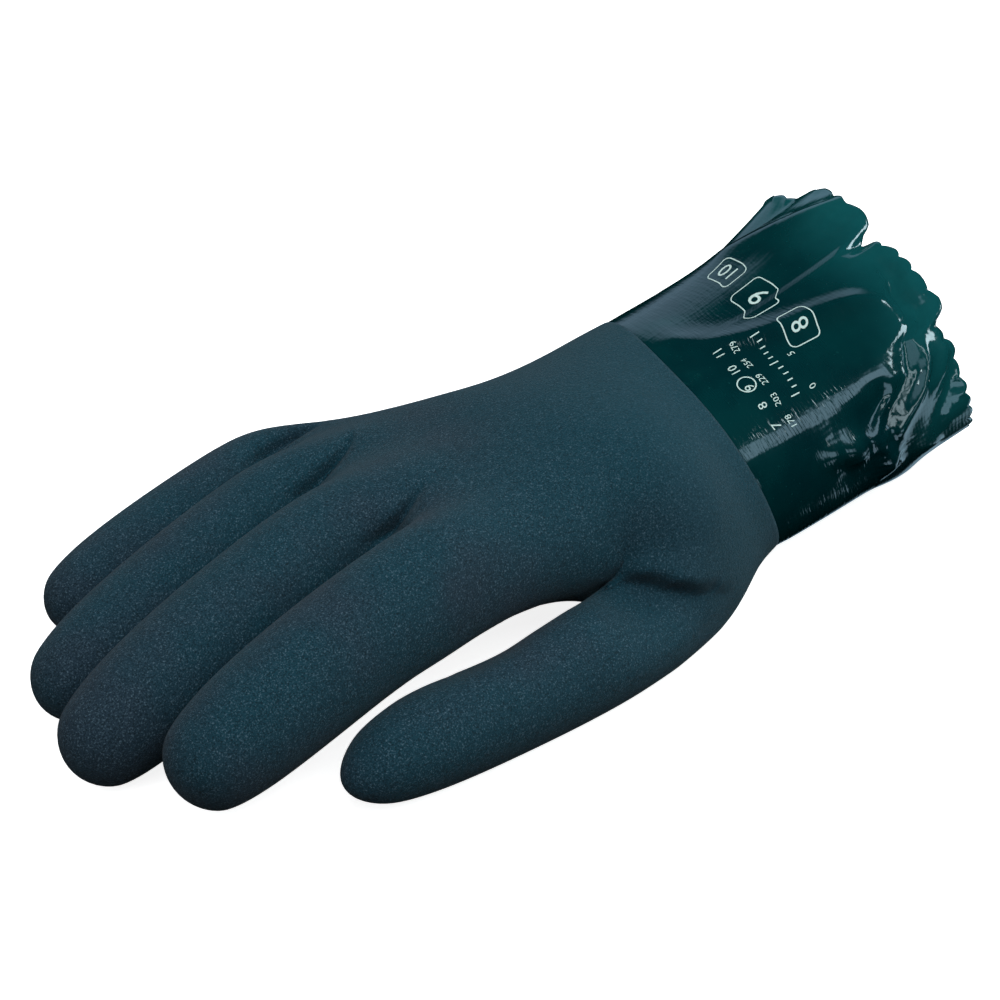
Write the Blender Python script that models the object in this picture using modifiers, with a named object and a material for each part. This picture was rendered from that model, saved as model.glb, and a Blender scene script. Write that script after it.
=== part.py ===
"""PVC coated gauntlet work glove for the right hand, lying palm down.

Eight pieces: the sandy coated hand, cut into six shells, so that each finger is a hollow of its
own, the gloss cuff, and the knitted lining sleeve that shows at the cuff's mouth.
Metres, +Z up. +X runs from the fingertips to the mouth, -Y is the thumb side.
"""
import math

import bmesh
import bpy
import numpy as np
from mathutils import Vector

# Driving dimensions of the walls and the gaps between the pieces
COAT_WALL = 0.0015
LINING_WALL = 0.0009
PIECE_GAP = 0.0003
SHELL_GAP = 0.00045

# The gloss cuff
CUFF_LENGTH = 0.0682
MOUTH_HALF_WIDTH = 0.0430
MOUTH_HALF_HEIGHT = 0.0285
MOUTH_CENTRE_Y = 0.0020
MOUTH_CENTRE_Z = 0.0305
MOUTH_SQUARENESS = 2.2
CUFF_FLARE = 1.6

# The dip line and the mouth are cut on the slant, shortest over the thumb-side shoulder
SLANT = 0.0110
SLANT_SHARPENING = 0.0025
SLANT_TURN = math.radians(50)

# Pinked edge: small scallops all round the mouth
SCALLOPS = 38
COLUMNS_PER_SCALLOP = 2
SCALLOP_DEPTH = 0.0012

# The knitted sleeve ends just short of the mouth and reaches past the dip line. It lies
# against the cuff where it shows and a little further in where it is hidden.
LINING_SETBACK = 0.0008
LINING_TUCK = 0.0010
LINING_SHOWS_FROM = 0.55

# Rows of points along the cuff and its lining, as shares of the cuff's length
CUFF_SHARES = (0.0, 0.25, 0.46, 0.58, 0.67, 0.76, 0.86, 1.0)
LINING_SHARES = (-0.12,) + CUFF_SHARES[1:]
CUFF_COLUMNS = SCALLOPS * COLUMNS_PER_SCALLOP

# Palm sections from the dip line to the crotch of the thumb and on to the fingers.
# near and far are the thumb side and the little finger side.
PALM_COLUMNS = (
    "near_x", "far_x", "near_y", "far_y", "floor", "near_crest", "far_crest", "near_waist", "far_waist", "slant"
)
PALM_SECTIONS = {
    "dip line": (0.0530, 0.0530, -0.0400, 0.0335, -0.0010, 0.0510, 0.0510, 0.0240, 0.0250, 1.00),
    "wrist": (0.0440, 0.0440, -0.0420, 0.0335, -0.0012, 0.0525, 0.0510, 0.0215, 0.0240, 0.80),
    "heel": (0.0350, 0.0350, -0.0480, 0.0340, -0.0012, 0.0545, 0.0505, 0.0180, 0.0220, 0.55),
    "ball of the thumb": (0.0260, 0.0250, -0.0520, 0.0350, -0.0004, 0.0560, 0.0500, 0.0160, 0.0210, 0.30),
    "thumb root": (0.0160, 0.0160, -0.0490, 0.0372, 0.0030, 0.0565, 0.0485, 0.0180, 0.0200, 0.15),
    "thumb crotch": (0.0070, 0.0090, -0.0390, 0.0415, 0.0080, 0.0560, 0.0455, 0.0245, 0.0190, 0.05),
    "palm": (-0.0050, 0.0040, -0.0345, 0.0485, 0.0130, 0.0550, 0.0405, 0.0310, 0.0180, 0.00),
    "knuckle line": (-0.0180, -0.0030, -0.0330, 0.0590, 0.0140, 0.0530, 0.0350, 0.0320, 0.0165, 0.00),
}
PALM_SQUARENESS = 2.4

# Fingers: knuckle place, length past the knuckle, half sizes, downward pitch at both ends, yaw
FINGER_COLUMNS = ("x", "y", "z", "length", "half_width", "half_height", "pitch", "tip_pitch", "yaw")
FINGERS = {
    "index": (-0.0300, -0.0180, 0.0340, 0.0822, 0.0134, 0.0149, 6, 22, 1),
    "middle": (-0.0340, 0.0113, 0.0310, 0.0873, 0.0132, 0.0147, 6, 22, -2),
    "ring": (-0.0280, 0.0385, 0.0245, 0.0828, 0.0121, 0.0135, 6, 16, -5),
    "little": (-0.0160, 0.0620, 0.0170, 0.0728, 0.0107, 0.0116, 3, 9, -5),
}

# The hand is cut into shells at the second section of each finger and at the thumb's root section
SHELLS = ("hand_shell", "index_shell", "middle_shell", "ring_shell", "little_shell", "thumb_shell")

# Sections along every finger, as shares of its length and of its half sizes
FINGER_SECTIONS = (
    ("web", 0.00, 0.86, 1.00),
    ("root", 0.15, 0.98, 1.00),
    ("joint", 0.48, 1.00, 1.00),
    ("pad", 0.78, 0.96, 0.94),
    ("fingertip", 0.93, 0.70, 0.68),
)

# Sections along the thumb from its root to its tip, yaw turns them towards the thumb side
THUMB_COLUMNS = ("x", "y", "z", "half_width", "half_height", "yaw")
THUMB_SECTIONS = {
    "root": (0.0060, -0.0425, 0.0150, 0.0120, 0.0132, 30),
    "first phalanx": (-0.0120, -0.0423, 0.0138, 0.0116, 0.0125, 6),
    "joint": (-0.0360, -0.0398, 0.0129, 0.0115, 0.0122, -5),
    "second phalanx": (-0.0570, -0.0374, 0.0120, 0.0112, 0.0116, -6),
    "thumb tip": (-0.0715, -0.0362, 0.0108, 0.0082, 0.0082, -5),
}
THUMB_END = (-0.0803, -0.0355, 0.0095)
THUMB_PALM_SECTIONS = ("heel", "ball of the thumb", "thumb root", "thumb crotch")

# Folds of the cuff. A fold's line runs from one place past a middle to an end, each given by
# the angle round the cuff in degrees and the share of its length. A height below zero is a dent.
FOLD_COLUMNS = ("angle", "share", "mid_angle", "mid_share", "end_angle", "end_share", "height", "width")
FOLDS = {
    "shoulder ridge": (98, 0.04, 68, 0.34, 60, 0.76, 0.0022, 0.0055),
    "top ridge": (126, 0.62, 106, 0.86, 91, 1.00, 0.0038, 0.0075),
    "valley behind it": (148, 0.55, 132, 0.85, 119, 1.00, -0.0038, 0.0065),
    "mouth notch": (75, 1.00, 76, 0.94, 80, 0.86, -0.0040, 0.0048),
    "mouth kink": (36, 1.00, 40, 0.93, 46, 0.84, -0.0032, 0.0050),
    "crumple": (50, 0.85, 24, 0.78, 6, 0.58, -0.0050, 0.0066),
    "crumple tail": (6, 0.58, 0, 0.50, -18, 0.56, -0.0025, 0.0058),
    "lobe ridge": (40, 0.99, 18, 0.93, -15, 0.70, 0.0034, 0.0070),
    "far dent": (200, 0.40, 205, 0.70, 200, 1.00, -0.0030, 0.0090),
}
FOLD_STEPS = 8
FOLD_FADE = 0.12


def named(columns, row):
    """One table row with its columns as names."""
    return dict(zip(columns, row))


def cage_size(size, points):
    """Size of a ring of cage points whose subdivided skin has the given size."""
    return size * 3.0 / (2.0 + math.cos(math.tau / points))


def rim_slant(angle):
    """How far the slanted cut shifts along the glove at an angle round it."""
    turned = angle - SLANT_TURN
    return SLANT_SHARPENING * 0.6 - SLANT * math.cos(turned) - SLANT_SHARPENING * math.cos(2 * turned)


def ring_section(count, centre, across, up, half_width, half_height):
    """A round ring: count points over the top, a side, count points underneath, a side."""
    points = 2 * count + 2
    half_width = cage_size(half_width, points)
    half_height = cage_size(half_height, points)
    step = math.tau / points
    ring = []
    for corner in range(1, points + 1):
        angle = corner * step
        ring.append(centre - across * (half_width * math.cos(angle)) + up * (half_height * math.sin(angle)))
    return ring


def finger_rings(row):
    """Rings of one finger from its web to its tip, and the point that closes the tip."""
    finger = named(FINGER_COLUMNS, row)
    place = Vector((finger["x"], finger["y"], finger["z"]))
    yaw = math.radians(finger["yaw"])
    rings = []
    reached = 0.0
    stations = [section[1:] for section in FINGER_SECTIONS] + [(1.0, 0.0, 0.0)]
    for share, width_share, height_share in stations:
        pitch = math.radians(finger["pitch"] + (finger["tip_pitch"] - finger["pitch"]) * share)
        onward = Vector((-math.cos(pitch) * math.cos(yaw), math.cos(pitch) * math.sin(yaw), -math.sin(pitch)))
        place = place + onward * (finger["length"] * (share - reached))
        reached = share
        across = Vector((math.sin(yaw), math.cos(yaw), 0.0))
        up = across.cross(onward)
        half_width = finger["half_width"] * width_share
        half_height = finger["half_height"] * height_share
        rings.append(ring_section(3, place, across, up, half_width, half_height))
    return rings[:-1], place


def thumb_rings():
    """Rings of the thumb past its root in the palm, and the two points that close its tip."""
    rings = []
    for row in THUMB_SECTIONS.values():
        section = named(THUMB_COLUMNS, row)
        yaw = math.radians(section["yaw"])
        across = Vector((-math.sin(yaw), math.cos(yaw), 0.0))
        centre = Vector((section["x"], section["y"], section["z"]))
        rings.append(ring_section(4, centre, across, Vector((0, 0, 1)), section["half_width"], section["half_height"]))
    end = Vector(THUMB_END)
    side = Vector((0.0, section["half_width"] * 0.33, 0.0))
    return rings, (end - side, end + side)


def palm_ring(section, across_shares):
    """One palm ring, its points spread across the hand as the fingers are."""
    middle = (section["near_y"] + section["far_y"]) / 2
    half_width = (section["far_y"] - section["near_y"]) / 2
    ring = []

    def between(near, far, share):
        return section[near] + (section[far] - section[near]) * (share + 1) / 2

    def add(share, side):
        waist = between("near_waist", "far_waist", share)
        rise = (1 - abs(share) ** PALM_SQUARENESS) ** (1 / PALM_SQUARENESS)
        limit = between("near_crest", "far_crest", share) if side > 0 else section["floor"]
        angle = math.atan2(side * rise, -share)
        x = between("near_x", "far_x", share) + section["slant"] * rim_slant(angle)
        ring.append(Vector((x, middle + half_width * share, waist + (limit - waist) * rise * abs(side))))

    for share in across_shares:
        add(share, 1)
    add(1.0, 0)
    for share in reversed(across_shares):
        add(share, -1)
    add(-1.0, 0)
    return ring


def bridge(mesh, first, second, skipped=()):
    """Quads between two closed rings of the same number of vertices."""
    count = len(first)
    for place in range(count):
        if place not in skipped:
            after = (place + 1) % count
            mesh.faces.new((first[place], first[after], second[after], second[place]))


def mark_shell(mesh, start, shell):
    """Gives the faces made since a count to one of the hand's shells."""
    mesh.faces.ensure_lookup_table()
    for face in mesh.faces[start:]:
        face.material_index = shell


def hand_cage():
    """Coarse cage of the hand: palm tube, four fingers, webs and thumb, each finger marked as a shell."""
    mesh = bmesh.new()

    def vertices(points):
        return [mesh.verts.new(point) for point in points]

    fingers = [finger_rings(row) for row in FINGERS.values()]
    finger_verts = [[vertices(ring) for ring in rings] for rings, tip in fingers]
    bases = [rings[0] for rings in finger_verts]
    base_top = [vert for base in bases for vert in base[:3]]
    base_bottom = [vert for base in bases for vert in (base[6], base[5], base[4])]
    knuckles = base_top + [bases[-1][3]] + base_bottom[::-1] + [bases[0][7]]

    # The palm's columns run on from the fingers' own points
    side_y = (knuckles[-1].co.y, bases[-1][3].co.y)
    shares = [2 * (vert.co.y - side_y[0]) / (side_y[1] - side_y[0]) - 1 for vert in base_top]
    palm = {name: vertices(palm_ring(named(PALM_COLUMNS, row), shares)) for name, row in PALM_SECTIONS.items()}
    rings = list(palm.values()) + [knuckles]
    names = list(palm) + ["knuckles"]
    last = len(knuckles) - 1
    for place in range(len(rings) - 1):
        opened = names[place] in THUMB_PALM_SECTIONS[:-1]
        bridge(mesh, rings[place], rings[place + 1], (last - 1, last) if opened else ())

    for shell, (verts, (points, tip)) in enumerate(zip(finger_verts, fingers), 1):
        bridge(mesh, verts[0], verts[1])
        beyond = len(mesh.faces)
        for first, second in zip(verts[1:], verts[2:]):
            bridge(mesh, first, second)
        end = mesh.verts.new(tip)
        ring = verts[-1]
        mesh.faces.new((ring[0], ring[1], end, ring[7]))
        mesh.faces.new((ring[1], ring[2], ring[3], end))
        mesh.faces.new((end, ring[3], ring[4], ring[5]))
        mesh.faces.new((ring[7], end, ring[5], ring[6]))
        mark_shell(mesh, beyond, shell)
    for near, far in zip(bases, bases[1:]):
        mesh.faces.new((near[2], far[0], far[7], near[3]))
        mesh.faces.new((near[3], far[7], far[6], near[4]))

    # The thumb grows from the palm's thumb side, heel first
    roots = [palm[name] for name in THUMB_PALM_SECTIONS]
    opening = [ring[0] for ring in roots] + [roots[-1][last]]
    opening += [ring[last - 1] for ring in reversed(roots)] + [roots[0][last]]
    sections, ends = thumb_rings()
    thumb = [opening] + [vertices(points) for points in sections]
    bridge(mesh, thumb[0], thumb[1])
    beyond = len(mesh.faces)
    for first, second in zip(thumb[1:], thumb[2:]):
        bridge(mesh, first, second)
    outer, inner = vertices(ends)
    ring = thumb[-1]
    mesh.faces.new((ring[0], ring[1], outer, ring[9]))
    mesh.faces.new((ring[1], ring[2], inner, outer))
    mesh.faces.new((ring[2], ring[3], ring[4], inner))
    mesh.faces.new((ring[9], outer, ring[7], ring[8]))
    mesh.faces.new((outer, inner, ring[6], ring[7]))
    mesh.faces.new((inner, ring[4], ring[5], ring[6]))
    mark_shell(mesh, beyond, SHELLS.index("thumb_shell"))

    for vert in [vert for vert in mesh.verts if not vert.link_faces]:
        mesh.verts.remove(vert)
    bmesh.ops.recalc_face_normals(mesh, faces=mesh.faces)
    return mesh


def material(name, colour, roughness):
    """A plain Principled finish."""
    finish = bpy.data.materials.new(name)
    finish.use_nodes = True
    shader = finish.node_tree.nodes["Principled BSDF"]
    shader.inputs["Base Color"].default_value = (*colour, 1.0)
    shader.inputs["Roughness"].default_value = roughness
    shader.inputs["Metallic"].default_value = 0.0
    return finish


def add_object(name, mesh, collection, finish):
    """An object with its own finish in the glove's collection."""
    data = bpy.data.meshes.new(name)
    mesh.to_mesh(data)
    mesh.free()
    piece = bpy.data.objects.new(name, data)
    collection.objects.link(piece)
    data.materials.append(finish)
    data.shade_smooth()
    return piece


def add_wall(piece, thickness):
    """Gives an open skin its thickness inwards."""
    wall = piece.modifiers.new("wall", "SOLIDIFY")
    wall.thickness = thickness
    wall.offset = -1.0
    wall.use_even_offset = False
    wall.use_rim = True


def applied(piece):
    """The mesh that an object's modifiers make, which it then keeps."""
    evaluated = piece.evaluated_get(bpy.context.evaluated_depsgraph_get())
    piece.data = bpy.data.meshes.new_from_object(evaluated)
    piece.modifiers.clear()
    return piece.data


def cut_shell(wall, skin_count, shell):
    """One shell of the hand's wall, closed where it is cut, and a finger's end drawn back by the gap."""
    mesh = bmesh.new()
    mesh.from_mesh(wall)
    others = [face for face in mesh.faces if face.material_index != shell]
    bmesh.ops.delete(mesh, geom=others, context="FACES_ONLY")
    mesh.verts.ensure_lookup_table()
    skin_edges = [edge for edge in mesh.edges if max(vert.index for vert in edge.verts) < skin_count]
    closing = []
    for edge in [edge for edge in skin_edges if edge.is_boundary]:
        first, second = edge.verts
        inner = [mesh.verts[vert.index + skin_count] for vert in (second, first)]
        closing.append(mesh.faces.new((first, second, *inner)))
    bmesh.ops.delete(mesh, geom=[edge for edge in mesh.edges if not edge.link_faces], context="EDGES")
    bmesh.ops.delete(mesh, geom=[vert for vert in mesh.verts if not vert.link_faces], context="VERTS")
    bmesh.ops.recalc_face_normals(mesh, faces=mesh.faces)
    for face in mesh.faces:
        face.material_index = 0
    if shell > 0:
        away = -sum((face.normal * face.calc_area() for face in closing), Vector())
        for vert in {vert for face in closing for vert in face.verts}:
            vert.co += away.normalized() * SHELL_GAP
    return mesh


def make_hand(collection):
    """The sandy coated hand and its fingers, as hollow shells with a common wall, and the open rim."""
    finish = material("sandy blue-green PVC", (0.014, 0.048, 0.068), 0.85)
    whole = add_object("whole_hand", hand_cage(), collection, finish)
    smooth = whole.modifiers.new("smooth", "SUBSURF")
    smooth.levels = 1
    smooth.render_levels = 1
    skin = applied(whole)
    flatten_on_floor(skin)
    mesh = bmesh.new()
    mesh.from_mesh(skin)
    rim = [tuple(vert.co) for vert in mesh.verts if vert.is_boundary]
    mesh.free()
    add_wall(whole, COAT_WALL)
    wall = applied(whole)
    shells = []
    for number, name in enumerate(SHELLS):
        shells.append(add_object(name, cut_shell(wall, len(skin.vertices), number), collection, finish))
    bpy.data.objects.remove(whole, do_unlink=True)
    return shells, np.array(rim)


def flatten_on_floor(data):
    """What would sink below the floor lies flat on it."""
    for vert in data.vertices:
        vert.co.z = max(vert.co.z, 0.0)


def rim_reader(rim):
    """The hand's rim as a function of the angle round it."""
    centre_y = (rim[:, 1].min() + rim[:, 1].max()) / 2
    centre_z = (rim[:, 2].min() + rim[:, 2].max()) / 2
    angles = np.arctan2(rim[:, 2] - centre_z, centre_y - rim[:, 1])
    order = np.argsort(angles)

    def read(angle):
        turned = math.remainder(angle, math.tau)
        values = [np.interp(turned, angles[order], rim[order, axis], period=math.tau) for axis in range(3)]
        return Vector(values)

    return read


def unrolled(degrees, share):
    """A place on the cuff as if it were slit and laid flat."""
    around = (MOUTH_HALF_WIDTH + MOUTH_HALF_HEIGHT) / 2
    return Vector((math.radians(degrees) * around, share * CUFF_LENGTH))


def fold_line(row):
    """Short straight steps along one fold's curved line."""
    fold = named(FOLD_COLUMNS, row)
    start = unrolled(fold["angle"], fold["share"])
    middle = unrolled(fold["mid_angle"], fold["mid_share"])
    end = unrolled(fold["end_angle"], fold["end_share"])
    bow = middle * 2 - (start + end) / 2
    steps = [step / FOLD_STEPS for step in range(FOLD_STEPS + 1)]
    line = [start * (1 - t) ** 2 + bow * (2 * t * (1 - t)) + end * t**2 for t in steps]
    return line, fold["height"], fold["width"]


FOLD_LINES = [fold_line(row) for row in FOLDS.values()]


def fold_height(degrees, share):
    """Sum of the folds at a place on the cuff."""
    place = unrolled((degrees + 180) % 360 - 180 if degrees > 260 else degrees, share)
    total = 0.0
    for line, height, width in FOLD_LINES:
        away = 1.0
        for start, end in zip(line, line[1:]):
            step = end - start
            along = min(1.0, max(0.0, (place - start).dot(step) / step.length_squared))
            away = min(away, (place - start - step * along).length)
        total += height * math.exp(-((away / width) ** 2))
    return total


def cuff_point(read_rim, angle, share, tuck=0.0):
    """A place on the cuff's outer skin, lofted from the hand's rim to the mouth."""
    power = 2 / MOUTH_SQUARENESS
    across = math.copysign(abs(math.cos(angle)) ** power, math.cos(angle))
    rise = math.copysign(abs(math.sin(angle)) ** power, math.sin(angle))
    start = read_rim(angle)
    mouth = Vector((
        PALM_SECTIONS["dip line"][0] + CUFF_LENGTH + rim_slant(angle),
        MOUTH_CENTRE_Y - MOUTH_HALF_WIDTH * across,
        MOUTH_CENTRE_Z + MOUTH_HALF_HEIGHT * rise,
    ))
    flared = abs(share) ** CUFF_FLARE if share > 0 else share
    place = Vector((
        start.x + (mouth.x - start.x) * share,
        start.y + (mouth.y - start.y) * flared,
        start.z + (mouth.z - start.z) * flared,
    ))
    outwards = Vector((0.0, -math.cos(angle), math.sin(angle)))
    fade = min(1.0, max(0.0, share / FOLD_FADE))
    return place + outwards * (fold_height(math.degrees(angle), share) * fade - tuck)


def cuff_skin(read_rim, shares, tuck, setback):
    """An open tube over the cuff's surface, tucked in where it is hidden and set back at the mouth."""
    mesh = bmesh.new()
    rows = len(shares) - 1
    bmesh.ops.create_grid(mesh, x_segments=CUFF_COLUMNS, y_segments=rows, size=0.5)
    first = []
    notches = []
    for vert in mesh.verts:
        column = round((vert.co.x + 0.5) * CUFF_COLUMNS)
        row = round((vert.co.y + 0.5) * rows)
        angle = column / CUFF_COLUMNS * math.tau
        hidden = min(1.0, max(0.0, 1.0 - shares[row] / LINING_SHOWS_FROM))
        place = cuff_point(read_rim, angle, shares[row], tuck * hidden)
        if row == rows:
            before = cuff_point(read_rim, angle, shares[row - 1], tuck * hidden)
            place = place.lerp(before, setback / (CUFF_LENGTH * (shares[row] - shares[row - 1])))
        place.z = max(place.z, 0.0)
        vert.co = place
        if row == 0:
            first.append(vert)
        if row == rows and column % COLUMNS_PER_SCALLOP == 0:
            notches.append(vert)
    return mesh, first, notches


def close_tube(mesh):
    """Welds the tube's seam and turns its faces outwards."""
    bmesh.ops.remove_doubles(mesh, verts=mesh.verts, dist=0.00001)
    bmesh.ops.recalc_face_normals(mesh, faces=mesh.faces)
    mesh.faces.ensure_lookup_table()
    face = mesh.faces[0]
    centre = face.calc_center_median()
    outwards = Vector((0.0, centre.y - MOUTH_CENTRE_Y, centre.z - MOUTH_CENTRE_Z))
    if face.normal.dot(outwards) < 0:
        bmesh.ops.reverse_faces(mesh, faces=mesh.faces)


def move_along(verts, distance):
    """Shifts points along the glove."""
    for vert in verts:
        vert.co.x += distance


def make_cuff(collection, read_rim):
    """The gloss cuff, from the dip line to the pinked mouth."""
    finish = material("gloss deep green PVC", (0.002, 0.036, 0.032), 0.12)
    mesh, first, notches = cuff_skin(read_rim, CUFF_SHARES, 0.0, 0.0)
    move_along(first, PIECE_GAP)
    move_along(notches, -SCALLOP_DEPTH)
    close_tube(mesh)
    cuff = add_object("gauntlet_cuff", mesh, collection, finish)
    add_wall(cuff, COAT_WALL)
    return cuff


def make_lining(collection, read_rim):
    """The knitted sleeve inside the cuff, reaching a little way into the hand."""
    finish = material("pale knit", (0.45, 0.60, 0.62), 0.95)
    setback = SCALLOP_DEPTH + LINING_SETBACK
    mesh, first, notches = cuff_skin(read_rim, LINING_SHARES, LINING_TUCK, setback)
    close_tube(mesh)
    lining = add_object("cuff_lining", mesh, collection, finish)
    inset = lining.modifiers.new("inside the coat", "DISPLACE")
    inset.direction = "NORMAL"
    inset.mid_level = 0.0
    inset.strength = -(COAT_WALL + PIECE_GAP)
    add_wall(lining, LINING_WALL)
    return lining


def stand_at_origin(pieces):
    """Moves the glove so that its box stands on the origin."""
    depsgraph = bpy.context.evaluated_depsgraph_get()
    corners = []
    for piece in pieces:
        evaluated = piece.evaluated_get(depsgraph)
        corners += [vert.co.copy() for vert in evaluated.data.vertices]
    low = [min(corner[axis] for corner in corners) for axis in range(3)]
    high = [max(corner[axis] for corner in corners) for axis in range(3)]
    shift = Vector((-(low[0] + high[0]) / 2, -(low[1] + high[1]) / 2, -low[2]))
    for piece in pieces:
        for vert in piece.data.vertices:
            vert.co += shift
    return shift


def build():
    """Clears the scene and makes the glove."""
    for old in list(bpy.data.objects):
        bpy.data.objects.remove(old, do_unlink=True)
    collection = bpy.data.collections.new("pvc_work_glove")
    bpy.context.scene.collection.children.link(collection)
    shells, rim = make_hand(collection)
    read_rim = rim_reader(rim)
    pieces = [*shells, make_cuff(collection, read_rim), make_lining(collection, read_rim)]
    return pieces, stand_at_origin(pieces)


build()
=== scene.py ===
"""Looks of the PVC coated gauntlet work glove.

The sandy hand is the CAD hand's own form, smoothed and creased. The gloss cuff, its cut edge and
its folds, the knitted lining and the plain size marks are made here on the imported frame.
Metres, +Z up. +X runs from the fingertips to the mouth, -Y is the thumb side.
"""
import math

import bmesh
import bpy
import numpy as np
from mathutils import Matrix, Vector

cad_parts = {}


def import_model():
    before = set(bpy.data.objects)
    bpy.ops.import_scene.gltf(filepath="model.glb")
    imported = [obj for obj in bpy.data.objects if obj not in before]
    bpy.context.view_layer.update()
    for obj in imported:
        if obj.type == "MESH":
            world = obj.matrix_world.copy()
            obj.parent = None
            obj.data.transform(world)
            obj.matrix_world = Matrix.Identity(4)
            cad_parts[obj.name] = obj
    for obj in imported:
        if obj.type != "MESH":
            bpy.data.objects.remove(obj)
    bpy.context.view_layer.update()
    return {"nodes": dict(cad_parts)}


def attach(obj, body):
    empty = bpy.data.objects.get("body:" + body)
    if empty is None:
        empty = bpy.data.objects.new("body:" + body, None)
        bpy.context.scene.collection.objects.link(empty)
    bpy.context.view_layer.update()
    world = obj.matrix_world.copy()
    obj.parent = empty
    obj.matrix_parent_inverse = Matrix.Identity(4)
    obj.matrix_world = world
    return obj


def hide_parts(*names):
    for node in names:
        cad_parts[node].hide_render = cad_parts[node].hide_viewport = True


MILLIMETRE = 0.001
NEVER_ZERO = 1e-9

# The camera, read from the photograph: degrees, metres, and the lens in millimetres
CAMERA_AZIMUTH = -42.5
CAMERA_ELEVATION = 33
CAMERA_DISTANCE = 0.70
CAMERA_LENS = 112.14
CAMERA_SENSOR = 36.0
CAMERA_TARGET = (-0.00814, -0.00894, 0.0300)

# The hand's CAD shells, and the gap between them
HAND_SHELLS = (
    "hand_shell", "index_shell", "middle_shell", "ring_shell", "little_shell", "thumb_shell",
)
SHELL_GAP = 0.00045
SAME_POINT = 0.000005

# The wrist's open end: its edges turn by more than this angle in radians, and lie beyond this x
RIM_ANGLE = 1.0
RIM_FROM_X = 0.02
RIM_CREASE = 0.7
SKIN_LEVELS = 2

# The gloss cuff: where its mouth is, and how it opens out towards it
DIP_LINE_X = 0.04486
CUFF_LENGTH = 0.0682
MOUTH_CENTRE = (-0.00694, 0.0305)
MOUTH_HALF_WIDTH = 0.0430
MOUTH_HALF_HEIGHT = 0.0285
MOUTH_RADIUS = (MOUTH_HALF_WIDTH + MOUTH_HALF_HEIGHT) / 2
MOUTH_SQUARENESS = 2.2
CUFF_FLARE = 1.6
SLANT = 0.0110
SLANT_SHARPENING = 0.0025
SLANT_MEAN = SLANT_SHARPENING * 0.6
SLANT_TURN = math.radians(50)
CUFF_WALL = 0.0011
CUFF_COLUMNS = 456
CUFF_ROWS = 84
CUFF_ABOVE_THE_TABLE = 0.0002

# Near the dip line the cuff lies a coat's step lower, and its hidden end slips under the hand.
# The second figure of each pair is the share of the cuff's length over which it does so.
DIP_STEP = 0.00018
DIP_STEP_SHARE = 0.08
TUCK = 0.0005
TUCK_SHARE = 0.02
TUCKED_ROWS = (-0.030, -0.01)

# The cut edge and the knitted lining behind it
SCALLOPS = 38
SCALLOP_DEPTH = 0.0014
SCALLOP_SHARE = 0.06
LINING_GAP = 0.00015
LINING_WALL = 0.0008
LINING_SETBACK = 0.0006
LINING_START = -0.10
LINING_COLUMNS = 228
LINING_ROWS = 40
STITCH_WIDTH = 0.0024
STITCH_HEIGHT = 0.0019
STITCHED_FROM = 0.19
STITCHED_TO = 0.963
YARN_RADIUS = 0.00042
PROBE = 0.01

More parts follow.
